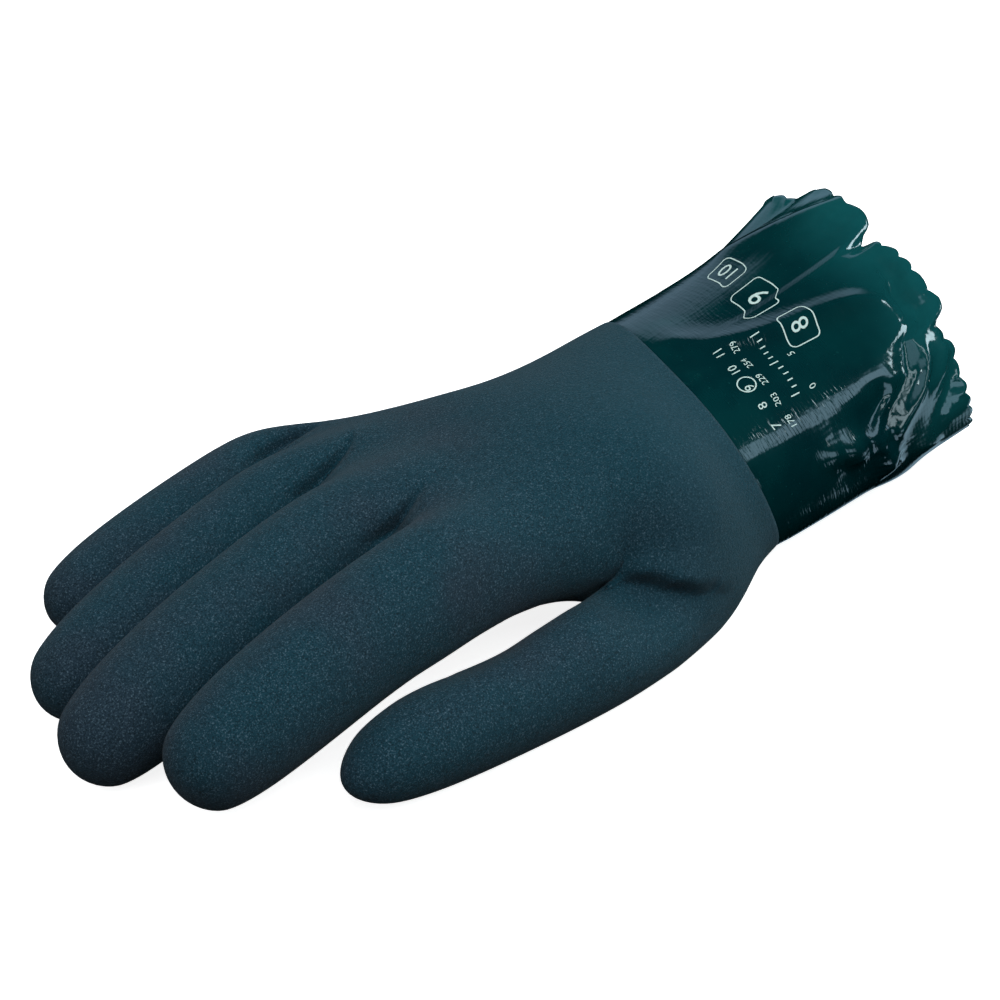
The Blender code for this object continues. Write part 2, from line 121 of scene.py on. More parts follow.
# Folds of the cuff. Each has a squareness, which is a crest below 2 and a flat top with steep sides
# above it, and stations along its line: the angle round the cuff in degrees, the share of its
# length, the height in millimetres, below zero a dent, and the half widths on the side of the hand
# and on the side of the mouth.
FOLDS = {
    "shoulder ridge": (1.5, (
        (108, -0.02, 0.8, 6.0, 6.0), (96, 0.04, 1.5, 6.0, 6.0), (85, 0.11, 2.0, 5.5, 5.5),
        (76, 0.20, 2.2, 5.0, 5.0), (70, 0.31, 2.2, 4.8, 5.0), (66, 0.45, 2.2, 4.4, 4.6),
        (63, 0.60, 2.4, 4.2, 4.2), (60, 0.72, 2.6, 4.0, 3.4), (56, 0.79, 1.4, 3.2, 2.6),
    )),
    "shoulder hollow": (2.0, (
        (84, 0.06, -0.8, 4.0, 4.0), (62, 0.30, -1.0, 4.0, 4.0), (56, 0.52, -0.9, 4.0, 4.0),
        (53, 0.66, -0.3, 4.0, 4.0),
    )),
    "top ridge": (1.5, (
        (126, 0.56, 1.6, 6.0, 6.0), (113, 0.72, 2.4, 6.0, 5.0), (104, 0.85, 2.8, 6.0, 4.0),
        (98, 0.95, 2.8, 6.0, 3.6), (95, 1.03, 2.4, 6.0, 3.6),
    )),
    "valley behind it": (1.7, (
        (155, 0.30, -0.8, 6.0, 6.0), (150, 0.55, -2.6, 6.5, 6.0), (140, 0.80, -3.6, 7.0, 6.0),
        (128, 1.02, -3.0, 6.0, 5.0),
    )),
    "mouth notch": (2.0, (
        (82, 1.03, -4.0, 2.4, 2.0), (81, 0.97, -3.0, 2.4, 2.0), (80, 0.91, -1.4, 2.4, 2.0),
        (80, 0.85, 0.0, 2.4, 2.0),
    )),
    "crumple": (2.2, (
        (72, 0.914, -0.6, 2.3, 1.9), (62, 0.92, -2.2, 2.6, 2.2), (54, 0.90, -2.9, 2.9, 2.4),
        (43, 0.899, -2.4, 3.5, 2.5), (38, 0.879, -1.4, 3.1, 2.4), (26, 0.796, -1.5, 4.2, 2.0),
        (20, 0.766, -1.3, 3.4, 2.7), (11, 0.669, -2.0, 2.8, 2.7), (2, 0.605, -2.0, 2.6, 1.7),
        (-9, 0.624, -0.4, 2.6, 4.3),
    )),
    "low welt": (1.8, (
        (23, 0.767, -0.2, 1.0, 0.9), (13, 0.695, 0.2, 1.3, 1.4), (8, 0.649, 1.0, 1.2, 2.5),
        (3, 0.589, 0.9, 1.0, 2.1), (1, 0.498, -1.0, 2.4, 1.1),
    )),
    "crumple tail": (2.0, (
        (17, 0.63, -1.5, 4.3, 0.9), (1, 0.39, -1.4, 6.0, 4.9), (-3, 0.51, -0.6, 2.6, 1.8),
        (-12, 0.56, 0.5, 2.3, 4.7),
    )),
    "tail swell": (2.0, (
        (-4, 0.58, 0.6, 3.7, 2.9), (-12, 0.57, 1.4, 3.2, 3.2), (-22, 0.51, 0.3, 2.7, 5.1),
        (-41, 0.67, 1.5, 6.0, 6.0),
    )),
    "lobe pleat": (1.5, (
        (41, 1.012, 0.6, 2.5, 1.0), (36, 0.908, 0.7, 3.1, 2.2), (31, 0.877, 1.2, 2.0, 1.9),
        (17, 0.802, 2.0, 2.5, 1.1), (11, 0.759, 1.6, 3.1, 2.2), (3, 0.669, 1.1, 3.0, 2.5),
        (-4, 0.614, 1.5, 4.8, 3.2), (-11, 0.624, 0.0, 5.7, 3.3),
    )),
    "lobe hollow": (2.0, (
        (32, 1.02, -2.2, 3.1, 5.0), (10, 0.96, -2.4, 3.5, 4.5), (-3, 0.85, -1.5, 5.4, 2.6),
        (-18, 0.80, 0.5, 5.0, 2.0),
    )),
    "inner crest": (1.8, (
        (50, 0.895, 0.0, 1.0, 1.0), (44, 0.893, 0.8, 1.0, 1.0), (32, 0.85, 1.1, 0.9, 1.2),
        (20, 0.759, 0.6, 1.2, 1.2), (8, 0.667, 0.2, 0.9, 1.0),
    )),
    "lower swell": (2.0, (
        (6, 0.37, 2.4, 5.0, 5.0), (5, 0.43, 3.6, 5.0, 5.0), (4, 0.49, 2.0, 5.0, 5.0),
    )),
    "far dent": (2.0, (
        (200, 0.40, -3.0, 9.0, 9.0), (205, 0.70, -3.0, 9.0, 9.0), (200, 1.00, -3.0, 9.0, 9.0),
    )),
}
FOLD_STEPS = 4
FOLD_REACH = 0.007
FOLD_FADE = 0.10
NO_FOLD_NEAR = 9.0
THUMB_SIDE_FROM = 260

# Creases of the hand. Each has a squareness, the direction it faces, and stations: x, y and z in
# millimetres, the height, and the half widths on its left and on its right as one goes along it
CREASES = {
    "palm edge over the thumb": (2.2, (-0.57, -0.62, 0.54), (
        (-14.0, -43.5, 22.5, -1.0, 1.2, 7.0), (-11.5, -45.5, 24.6, -4.0, 1.4, 8.0),
        (-8.7, -48.3, 25.6, -6.8, 1.8, 10.0), (-5.8, -51.9, 26.7, -8.0, 2.0, 11.0),
        (-2.6, -56.2, 26.2, -7.2, 2.0, 11.0), (3.0, -59.1, 24.0, -5.0, 2.0, 10.0),
        (8.0, -59.4, 22.1, -3.2, 2.2, 9.0), (15.1, -58.5, 18.4, -1.5, 2.4, 8.0),
        (20.4, -57.0, 15.2, 0.0, 2.4, 8.0),
    )),
    "palm edge hangs lower": (2.0, (-0.37, -0.40, -0.84), (
        (-62.0, -39.1, 30.0, 0.0, 7.0, 7.0), (-52.7, -39.2, 30.0, 1.4, 8.0, 8.0),
        (-44.5, -38.9, 29.5, 2.5, 8.0, 8.0), (-36.0, -38.7, 28.5, 2.3, 8.0, 8.0),
        (-28.2, -39.1, 26.5, 1.0, 7.0, 7.0), (-20.0, -39.2, 24.0, 0.0, 7.0, 7.0),
    )),
    "between little and ring finger": (1.6, (-0.25, -0.35, 0.90), (
        (-38.6, 46.0, 25.1, 0.0, 1.2, 1.2), (-33.5, 46.8, 25.9, -2.4, 1.2, 1.2),
        (-29.3, 47.1, 26.9, -3.5, 1.2, 1.2), (-24.2, 45.9, 28.5, -3.2, 1.2, 1.2),
        (-19.5, 43.6, 30.3, -1.6, 1.2, 1.2), (-16.0, 41.5, 32.0, 0.0, 1.2, 1.2),
    )),
    "between ring and middle finger": (1.6, (-0.35, -0.40, 0.85), (
        (-45.9, 20.3, 32.0, 0.0, 1.2, 1.2), (-41.5, 20.0, 33.4, -2.6, 1.2, 1.2),
        (-37.8, 19.7, 34.9, -4.2, 1.3, 1.3), (-33.1, 19.7, 37.4, -4.2, 1.3, 1.3),
        (-28.8, 20.6, 39.0, -3.2, 1.2, 1.2), (-25.5, 22.6, 39.8, -1.4, 1.1, 1.1),
        (-23.0, 24.4, 40.2, 0.0, 1.0, 1.0),
    )),
    "between middle and index finger": (1.6, (-0.50, -0.50, 0.70), (
        (-49.3, -9.3, 35.1, 0.0, 1.3, 1.3), (-45.0, -10.0, 37.0, -2.4, 1.3, 1.3),
        (-41.1, -11.2, 39.1, -3.8, 1.3, 1.3), (-37.0, -11.0, 41.8, -3.5, 1.3, 1.3),
        (-33.0, -9.8, 43.3, -1.6, 1.2, 1.2), (-29.5, -8.6, 44.0, 0.0, 1.2, 1.2),
    )),
}
CREASE_ZONE = 0.005

# How far the mouth's edge reaches past its even slanted cut, in millimetres at angles round it
MOUTH_REACH = {
    0: -2.5, 10: -1.8, 20: 0.8, 25: 1.0, 30: 0.3, 35: -0.8, 38: 1.8, 45: 4.2, 55: 4.3, 62: 4.8, 70: 4.6,
    75: 3.2, 79: 2.0, 81: 0.5, 83: 3.0, 85: 6.0, 90: 6.0, 95: 4.7, 100: 5.2, 106: 7.2, 112: 8.2,
    118: 6.8, 126: 4.0, 140: 2.0, 155: 2.0, 180: 0.0, 300: 0.0, 330: -1.2, 345: -2.4, 360: -2.5,
}

# Plain marks printed on the cuff, read upwards from the thumb side: the words, the angle and the
# share at their middle, and the height of the figures in millimetres
MARK_WORDS = {
    "sizes": ("7    8    9    10    11", 50, 0.185, 2.5),
    "palm girths in millimetres": ("178    203    229    254    279", 48, 0.245, 1.7),
    "scale start": ("0", 36, 0.405, 1.9),
    "scale middle": ("5", 52.5, 0.405, 1.9),
    "left frame": ("8", 62, 0.49, 4.6),
    "middle frame": ("9", 88, 0.46, 6.0),
    "right frame": ("10", 114, 0.45, 4.6),
}
# Rings and frames: half width, half height and corner radius in millimetres, at an angle and a share
MARK_FRAMES = {
    "ring on the size": (2.3, 2.3, 2.3, 49, 0.185),
    "left frame": (5.0, 4.2, 1.6, 62, 0.49),
    "middle frame": (6.2, 5.4, 2.0, 88, 0.46),
    "right frame": (5.0, 4.2, 1.6, 114, 0.45),
}
MARK_LINE = 0.34
MARK_LIFT = 0.00005
FIGURE_SHARE = 0.7
CORNER_STEPS = 8
RIBBON_STEP = 0.6
# A scale of short and long ticks round the cuff, in millimetres
SCALE_START = 36
SCALE_SHARE = 0.345
SCALE_STEP = 2.0
SCALE_TICKS = 11
TICKS_TO_A_LONG_ONE = 5
LONG_TICK = 2.6
SHORT_TICK = 1.5

# Colours of the coats, the yarn and the ink
SANDY_TEAL = (0.0035, 0.0380, 0.0570)
SANDY_VIOLET = (0.0135, 0.0310, 0.0480)
SAND_SHADOW = (0.0030, 0.0120, 0.0170)
SAND_SPARKLE = (0.0850, 0.1400, 0.1800)
WRIST_TEAL = (0.0030, 0.0560, 0.0760)
GLOSS_GREEN = (0.0004, 0.0190, 0.0230)
GLOSS_CLOUD = (0.0008, 0.0290, 0.0320)
GLOSS_MOTTLE = (0.0040, 0.0650, 0.0600)
GLOSS_SPECK = (0.0120, 0.0900, 0.0850)
GLOSS_AT_THE_MOUTH = (0.0060, 0.0860, 0.0920)
YARN_GREY = (0.42, 0.58, 0.60)
YARN_PALE = (0.55, 0.68, 0.70)
YARN_SHADOW = (0.22, 0.34, 0.37)
INK_PALE = (0.52, 0.66, 0.62)
INK_WORN = (0.16, 0.34, 0.31)
WHITE = (1.0, 1.0, 1.0)
BLACK = (0.0, 0.0, 0.0)

# Sizes of the patterns: noise in turns to a metre, the knit in metres, and where the wrist's teal
# comes in along the glove
SAND_GRAIN = 2700.0
SAND_CLUMPS = 900.0
COAT_PATCHES = 22.0
WRIST_FROM_X = -0.025
WRIST_TO_X = 0.035
WALE_WIDTH = 0.00155
COURSE_HEIGHT = 0.00125
STREAKS_AROUND = 140.0
STREAKS_ALONG = 1100.0

# The floor's half width, the corners of a square, and the room's own light
FLOOR_HALF_WIDTH = 20
SQUARE_CORNERS = ((-1, -1), (1, -1), (1, 1), (-1, 1))
ROOM_GLOW = 0.28
# Soft boxes that only the matte surfaces see
LIGHT_COLUMNS = ("azimuth", "elevation", "distance", "width", "height", "power", "red", "green", "blue")
LIGHTS = {
    "key from above": (-20, 62, 1.2, 1.1, 0.9, 10.0, 0.96, 0.98, 1.00),
    "front fill": (40, 22, 1.1, 0.60, 0.40, 1.2, 0.74, 0.96, 1.00),
    "left fill": (-100, 35, 1.3, 0.9, 0.9, 3.0, 0.90, 0.97, 1.00),
    "right fill": (60, 40, 1.3, 0.8, 0.8, 2.0, 0.62, 0.94, 1.00),
    "low right fill": (76, 7, 0.8, 0.5, 0.15, 1.0, 0.65, 0.97, 1.00),
    "behind": (150, 45, 1.3, 1.0, 0.7, 4.0, 0.90, 0.96, 1.00),
}

# Soft cards that only the reflections see; soft is the share of a half side over which one fades out
CARD_COLUMNS = (
    "azimuth", "elevation", "distance", "width", "height", "soft", "glow", "red", "green", "blue",
)
CARDS = {
    "front card": (36, 23, 1.0, 0.34, 0.27, 0.35, 3.6, 0.52, 0.80, 1.00),
    "side card": (66, 24, 1.0, 0.46, 0.26, 0.2, 11.0, 0.72, 0.92, 1.00),
    "backdrop card": (142, 12, 0.9, 1.00, 0.60, 0.6, 0.62, 0.50, 0.74, 1.00),
    "tall card": (8, 45, 1.0, 0.12, 0.87, 0.3, 5.0, 0.72, 0.92, 1.00),
    "wide card": (8, 17, 1.0, 0.50, 0.18, 0.3, 5.0, 0.72, 0.92, 1.00),
    "left card": (-35, 48, 1.0, 0.60, 0.80, 0.3, 1.6, 0.52, 0.80, 1.00),
    "low left card": (8, -38, 1.0, 0.45, 0.35, 0.3, 2.4, 0.52, 0.80, 1.00),
    "low front card": (10, -8, 1.0, 0.50, 0.34, 0.3, 2.8, 0.50, 0.80, 1.00),
    "low right card": (82, -33, 1.0, 0.50, 0.35, 0.3, 1.0, 0.50, 0.80, 1.00),
    "low back card": (118, -38, 1.0, 0.40, 0.15, 0.3, 0.5, 0.50, 0.80, 1.00),
}


class Socket:
    """An output whose arithmetic adds Math nodes to its tree."""

    def __init__(self, maker, socket):
        self.maker = maker
        self.socket = socket

    def math(self, operation, *values):
        node = self.maker.node("ShaderNodeMath", {"operation": operation}, dict(enumerate(values)))
        return Socket(self.maker, node.outputs[0])

    def __add__(self, other):
        return self.math("ADD", self, other)

    def __radd__(self, other):
        return self.math("ADD", other, self)

    def __sub__(self, other):
        return self.math("SUBTRACT", self, other)

    def __rsub__(self, other):
        return self.math("SUBTRACT", other, self)

    def __mul__(self, other):
        return self.math("MULTIPLY", self, other)

    def __rmul__(self, other):
        return self.math("MULTIPLY", other, self)

    def __truediv__(self, other):
        return self.math("DIVIDE", self, other)

    def __rtruediv__(self, other):
        return self.math("DIVIDE", other, self)

    def __pow__(self, other):
        return self.math("POWER", self, other)

    def __rpow__(self, other):
        return self.math("POWER", other, self)

    def sin(self):
        return self.math("SINE", self)

    def absolute(self):
        return self.math("ABSOLUTE", self)

    def between(self, low, high):
        """0 below the low value, 1 above the high one, smooth in between."""
        settings = {"interpolation_type": "SMOOTHSTEP"}
        values = {"Value": self, "From Min": low, "From Max": high}
        return Socket(self.maker, self.maker.node("ShaderNodeMapRange", settings, values).outputs[0])


class Maker:
    """Adds nodes to one shader or geometry tree."""

    def __init__(self, tree):
        self.tree = tree

    def node(self, kind, settings=(), values=()):
        """A node of this type, its settings made first, then its sockets' values or links."""
        node = self.tree.nodes.new(kind)
        for name, setting in dict(settings).items():
            setattr(node, name, setting)
        for name, value in dict(values).items():
            self.feed(node.inputs[name], value)
        return node

    def feed(self, socket, value):
        """Links an output, or sets a plain value."""
        if isinstance(value, Socket):
            self.tree.links.new(value.socket, socket)
        else:
            socket.default_value = value

    def out(self, kind, name=0, settings=(), values=()):
        """One output of a new node."""
        return Socket(self, self.node(kind, settings, values).outputs[name])

    def parts(self, vector):
        """The first two numbers of a vector."""
        split = self.node("ShaderNodeSeparateXYZ", {}, {0: vector})
        return Socket(self, split.outputs[0]), Socket(self, split.outputs[1])

    def blend(self, share, first, second):
        """Two colours mixed: the first where the share is 0, the second where it is 1."""
        node = self.node("ShaderNodeMix", {"data_type": "RGBA"}, {0: share})
        for place, colour in ((6, first), (7, second)):
            self.feed(node.inputs[place], colour if isinstance(colour, Socket) else (*colour, 1.0))
        return Socket(self, node.outputs[2])

    def noise(self, where, scale, detail=2.0, roughness=0.5):
        """Fractal noise on a place."""
        values = {"Vector": where, "Scale": scale, "Detail": detail, "Roughness": roughness}
        return self.out("ShaderNodeTexNoise", "Fac", {}, values)

    def raised(self, height, strength, distance, under=None):
        """A bump's normal, laid over another one."""
        values = {"Height": height, "Strength": strength, "Distance": distance}
        if under is not None:
            values["Normal"] = under
        return self.out("ShaderNodeBump", "Normal", {}, values)


def finish_of(name, **constants):
    """A new material with these constants on its shader's sockets, its maker and its shader."""
    finish = bpy.data.materials.new(name)
    finish.use_nodes = True
    shader = finish.node_tree.nodes["Principled BSDF"]
    for socket, value in constants.items():
        shader.inputs[socket.replace("_", " ")].default_value = value
    return finish, Maker(finish.node_tree), shader


def sandy_coat():
    """Matte PVC with fine sand in it, teal with violet-grey patches, purer teal towards the wrist."""
    constants = {"Specular_IOR_Level": 0.16, "Sheen_Weight": 0.05, "Sheen_Roughness": 0.5}
    finish, maker, shader = finish_of("sandy coat", **constants)
    place = maker.out("ShaderNodeTexCoord", "Object")
    grain = maker.noise(place, SAND_GRAIN, 2.0, 0.7)
    clumps = maker.noise(place, SAND_CLUMPS, 2.0, 0.6)
    patches = maker.noise(place, COAT_PATCHES, 3.0, 0.55)
    wrist = maker.parts(place)[0].between(WRIST_FROM_X, WRIST_TO_X)
    violet = patches.between(0.42, 0.66) * (1.0 - wrist * 0.9)
    shadow = (0.5 - grain).between(0.0, 0.14) * 0.85
    sparkle = grain.between(0.55, 0.70) * (0.80 - wrist * 0.30)
    colour = maker.blend(violet, SANDY_TEAL, SANDY_VIOLET)
    colour = maker.blend(shadow, colour, SAND_SHADOW)
    colour = maker.blend(sparkle, colour, SAND_SPARKLE)
    colour = maker.blend(wrist * 0.30, colour, WRIST_TEAL)
    maker.feed(shader.inputs["Base Color"], colour)
    maker.feed(shader.inputs["Roughness"], 0.62 + clumps * 0.2)
    maker.feed(shader.inputs["Normal"], maker.raised(grain + clumps * 0.7, 0.6, 0.0005))
    return finish


def gloss_coat():
    """Deep green gloss PVC over a knit, whose rows show faintly through, streaked near the hand."""
    finish, maker, shader = finish_of("gloss coat", IOR=1.5)
    place = maker.out("ShaderNodeTexCoord", "Object")
    around, along = maker.parts(maker.out("ShaderNodeUVMap", "UV", {"uv_map": "unrolled"}))
    share = along / CUFF_LENGTH
    clouds = maker.noise(place, 45.0, 3.0, 0.6)
    mottle = maker.noise(place, 110.0, 4.0, 0.7)
    specks = maker.noise(place, 1500.0, 1.0)
    near_mouth = share.between(0.62, 1.0) * (0.45 + mottle * 0.6)
    colour = maker.blend(clouds.between(0.35, 0.70), GLOSS_GREEN, GLOSS_CLOUD)
    colour = maker.blend(mottle.between(0.60, 0.80) * 0.35, colour, GLOSS_MOTTLE)
    colour = maker.blend(specks.between(0.70, 0.80) * 0.30, colour, GLOSS_SPECK)
    colour = maker.blend(near_mouth, colour, GLOSS_AT_THE_MOUTH)
    maker.feed(shader.inputs["Base Color"], colour)
    maker.feed(shader.inputs["Roughness"], 0.06 + mottle * 0.08)
    drift = maker.noise(place, 260.0) * 5.0
    wales = (around * (math.tau / WALE_WIDTH) + drift).sin()
    courses = (along * (math.tau / COURSE_HEIGHT) + drift).sin()
    knit = maker.raised(wales * 0.5 + courses * 0.5, 0.07, 0.00008)
    drawn_out = {"X": around * STREAKS_AROUND, "Y": along * STREAKS_ALONG}
    streak = maker.noise(maker.out("ShaderNodeCombineXYZ", 0, {}, drawn_out), 1.0, 2.0, 0.6)
    streaks = maker.raised(streak * (1.0 - share.between(0.45, 0.65)), 0.30, 0.00035, knit)
    orange_peel = maker.raised(maker.noise(place, 380.0), 0.12, 0.0003, streaks)
    maker.feed(shader.inputs["Normal"], orange_peel)
    return finish


def knit_yarn():
    """Pale knit of the lining."""
    finish, maker, shader = finish_of("pale knit", Sheen_Weight=0.25)
    place = maker.out("ShaderNodeTexCoord", "Object")
    fuzz = maker.noise(place, 3200.0, 3.0, 0.7)
    colour = maker.blend(maker.noise(place, 60.0), YARN_GREY, YARN_PALE)
    colour = maker.blend((0.5 - fuzz).between(0.0, 0.3) * 0.5, colour, YARN_SHADOW)
    maker.feed(shader.inputs["Base Color"], colour)
    maker.feed(shader.inputs["Roughness"], 0.9 + fuzz * 0.1)
    maker.feed(shader.inputs["Normal"], maker.raised(fuzz, 0.5, 0.0003))
    return finish


def mark_ink():
    """Pale printing ink, thin in places."""
    finish, maker, shader = finish_of("pale ink")
    place = maker.out("ShaderNodeTexCoord", "Object")
    worn = maker.noise(place, 1300.0, 3.0, 0.7)
    maker.feed(shader.inputs["Base Color"], maker.blend(worn.between(0.55, 0.75), INK_PALE, INK_WORN))
    maker.feed(shader.inputs["Roughness"], 0.30 + worn * 0.2)
    return finish


def add_piece(name, mesh, *finishes):
    """An object for a finished mesh, at the origin."""
    piece = bpy.data.objects.new(name, mesh)
    bpy.context.scene.collection.objects.link(piece)
    for finish in finishes:
        mesh.materials.append(finish)
    mesh.shade_smooth()
    return piece


def made_plain(piece):
    """Applies what the object's modifiers make of its mesh."""
    evaluated = piece.evaluated_get(bpy.context.evaluated_depsgraph_get())
    plain = bpy.data.meshes.new_from_object(evaluated)
    plain.name = piece.name
    piece.modifiers.clear()
    piece.data = plain
    return piece


def places_of(mesh):
    """A mesh's vertex places as rows."""
    places = np.empty(len(mesh.vertices) * 3)
    mesh.vertices.foreach_get("co", places)
    return places.reshape(-1, 3)


def skins_of(mesh):
    """Sorts the faces of a hollow wall into the outer skin, the inner skin and the rim between them."""
    sharp = {
        edge for edge in mesh.edges
        if edge.is_manifold and edge.calc_face_angle() > RIM_ANGLE and edge.verts[0].co.x > RIM_FROM_X
    }
    waiting = set(mesh.faces)
    skins = []
    while waiting:
        found = [waiting.pop()]
        for face in found:
            for edge in face.edges:
                if edge not in sharp:
                    beside = [other for other in edge.link_faces if other in waiting]
                    waiting.difference_update(beside)
                    found.extend(beside)
        skins.append(found)
    skins.sort(key=lambda faces: sum(face.calc_area() for face in faces), reverse=True)
    outer, inner = skins[0], skins[1]
    rim = [face for faces in skins[2:] for face in faces]
    return outer, inner, rim


def joined_shells(nodes):
    """The hand's shells as one wall: their cut ends are welded and the closing faces between them go."""
    mesh = bmesh.new()
    for name in HAND_SHELLS:
        mesh.from_mesh(nodes[name].data)
    bmesh.ops.remove_doubles(mesh, verts=mesh.verts, dist=SAME_POINT)
    bmesh.ops.remove_doubles(mesh, verts=mesh.verts, dist=SHELL_GAP * 1.2)
    welded = {vert for edge in mesh.edges if len(edge.link_faces) > 2 for vert in edge.verts}
    between = [face for face in mesh.faces if welded.issuperset(face.verts)]
    bmesh.ops.delete(mesh, geom=between, context="FACES")
    return mesh


def hand_form(nodes):
    """The CAD hand as a smooth mesh: material 0 outside, 1 on the rim, 2 inside."""
    mesh = joined_shells(nodes)
    bmesh.ops.join_triangles(mesh, faces=mesh.faces, angle_face_threshold=0.7, angle_shape_threshold=1.2)
    outer, inner, rim = skins_of(mesh)
    for number, faces in enumerate((outer, rim, inner)):
        for face in faces:
            face.material_index = number
    crease = mesh.edges.layers.float.new("crease_edge")
    for face in rim:
        for edge in face.edges:
            if any(other.material_index != 1 for other in edge.link_faces):
                edge[crease] = RIM_CREASE
    smooth = bpy.data.meshes.new("hand_skin")
    mesh.to_mesh(smooth)
    mesh.free()
    return smooth


def rim_reader(mesh):
    """The hand's outer rim as a function of the angle round it."""
    edge_of = {}
    for polygon in mesh.polygons:
        if polygon.material_index < 2:
            for vertex in polygon.vertices:
                edge_of.setdefault(vertex, set()).add(polygon.material_index)
    rim = np.array([mesh.vertices[vertex].co for vertex, kinds in edge_of.items() if len(kinds) == 2])
    centre_y = (rim[:, 1].min() + rim[:, 1].max()) / 2
    centre_z = (rim[:, 2].min() + rim[:, 2].max()) / 2
    angles = np.arctan2(rim[:, 2] - centre_z, centre_y - rim[:, 1])
    order = np.argsort(angles)

    def read(angle):
        turned = np.mod(angle + math.pi, math.tau) - math.pi
        axes = [np.interp(turned, angles[order], rim[order, axis], period=math.tau) for axis in range(3)]
        return np.stack(axes, -1)

    return read


def rim_slant(angle):
    """How far the slanted cut shifts along the glove at an angle round it."""
    turned = angle - SLANT_TURN
    return SLANT_MEAN - SLANT * np.cos(turned) - SLANT_SHARPENING * np.cos(2 * turned)


def unrolled(degrees, share):
    """A place on the cuff as if it were slit and laid flat."""
    return np.stack([np.radians(degrees) * MOUTH_RADIUS, share * CUFF_LENGTH], -1)


def smooth_run(stations):
    """Stations with more in between, on a smooth curve through them all."""
    rows = np.array(stations, dtype=float)
    ends = np.concatenate([[rows[0] * 2 - rows[1]], rows, [rows[-1] * 2 - rows[-2]]])
    run = []
    for before, first, second, after in zip(ends, ends[1:], ends[2:], ends[3:]):
        for t in np.arange(FOLD_STEPS) / FOLD_STEPS:
            pull = (second - before) * t + (before * 2 - first * 5 + second * 4 - after) * t**2
            run.append(first + (pull + (first * 3 - before - second * 3 + after) * t**3) / 2)
    return np.array([*run, rows[-1]])


def folds_over(places, folds, facing):
    """Heights that these folds give places, seen against the direction they face."""
    total = np.zeros(places.shape[:-1])
    for squareness, run in folds:
        line = run[:, :3]
        nearest = np.full(places.shape[:-1], NO_FOLD_NEAR)
        height = np.zeros(places.shape[:-1])
        for first, second, start, end in zip(line, line[1:], run[:, 3:], run[1:, 3:]):
            step = second - first
            step = step - facing * (step @ facing)
            reach = places - first
            depth = reach @ facing
            reach = reach - depth[..., None] * facing
            along = np.clip((reach @ step) / (step @ step), 0, 1)[..., None]
            offset = reach - along * step
            away = np.linalg.norm(offset, axis=-1)
            side = (offset @ np.cross(facing, step)) / (np.linalg.norm(step) * away + NEVER_ZERO)
            here = start + (end - start) * along
            half_width = (here[..., 1] * (1 + side) + here[..., 2] * (1 - side)) / 2 * MILLIMETRE
            nearer = away / half_width < nearest
            nearest = np.where(nearer, away / half_width, nearest)
            fade = np.clip(2 - np.abs(depth) / FOLD_REACH, 0, 1)
            height = np.where(nearer, here[..., 0] * fade, height)
        total += height * MILLIMETRE * np.exp(-(nearest**squareness))
    return total


def fold_height(degrees, share):
    """Sum of the folds at places on the cuff."""
    level = np.zeros(np.shape(degrees) + (1,))
    degrees = np.where(degrees > THUMB_SIDE_FROM, degrees - 360, degrees)
    place = np.concatenate([unrolled(degrees, share), level], -1)
    folds = []
    for squareness, stations in FOLDS.values():
        run = smooth_run(stations)
        line = unrolled(run[:, 0], run[:, 1])
        folds.append((squareness, np.column_stack([line, np.zeros(len(run)), run[:, 2:]])))
    return folds_over(place, folds, np.array([0.0, 0.0, 1.0]))


def cuff_places(read_rim, angle, share):
    """Places on the cuff's outer skin, lofted from the hand's rim to the mouth."""
    power = 2 / MOUTH_SQUARENESS
    across = np.sign(np.cos(angle)) * np.abs(np.cos(angle)) ** power
    rise = np.sign(np.sin(angle)) * np.abs(np.sin(angle)) ** power
    start = read_rim(angle)
    reach = np.interp(np.degrees(angle) % 360, list(MOUTH_REACH), list(MOUTH_REACH.values()))
    mouth = np.stack([
        DIP_LINE_X + CUFF_LENGTH + rim_slant(angle) + reach * MILLIMETRE,
        MOUTH_CENTRE[0] - MOUTH_HALF_WIDTH * across,
        MOUTH_CENTRE[1] + MOUTH_HALF_HEIGHT * rise,
    ], -1)
    flared = np.where(share > 0, np.abs(share) ** CUFF_FLARE, share)
    shares = np.stack([share, flared, flared], -1)
    place = start + (mouth - start) * shares
    outwards = np.stack([np.zeros_like(angle), -np.cos(angle), np.sin(angle)], -1)
    fade = np.clip(share / FOLD_FADE, 0, 1)
    under = DIP_STEP * np.clip(1 - share / DIP_STEP_SHARE, 0, 1) + TUCK * np.clip(-share / TUCK_SHARE, 0, 1)
    place = place + outwards * (fold_height(np.degrees(angle) % 360, share) * fade - under)[..., None]
    place[..., 2] = np.maximum(place[..., 2], CUFF_ABOVE_THE_TABLE)
    return place


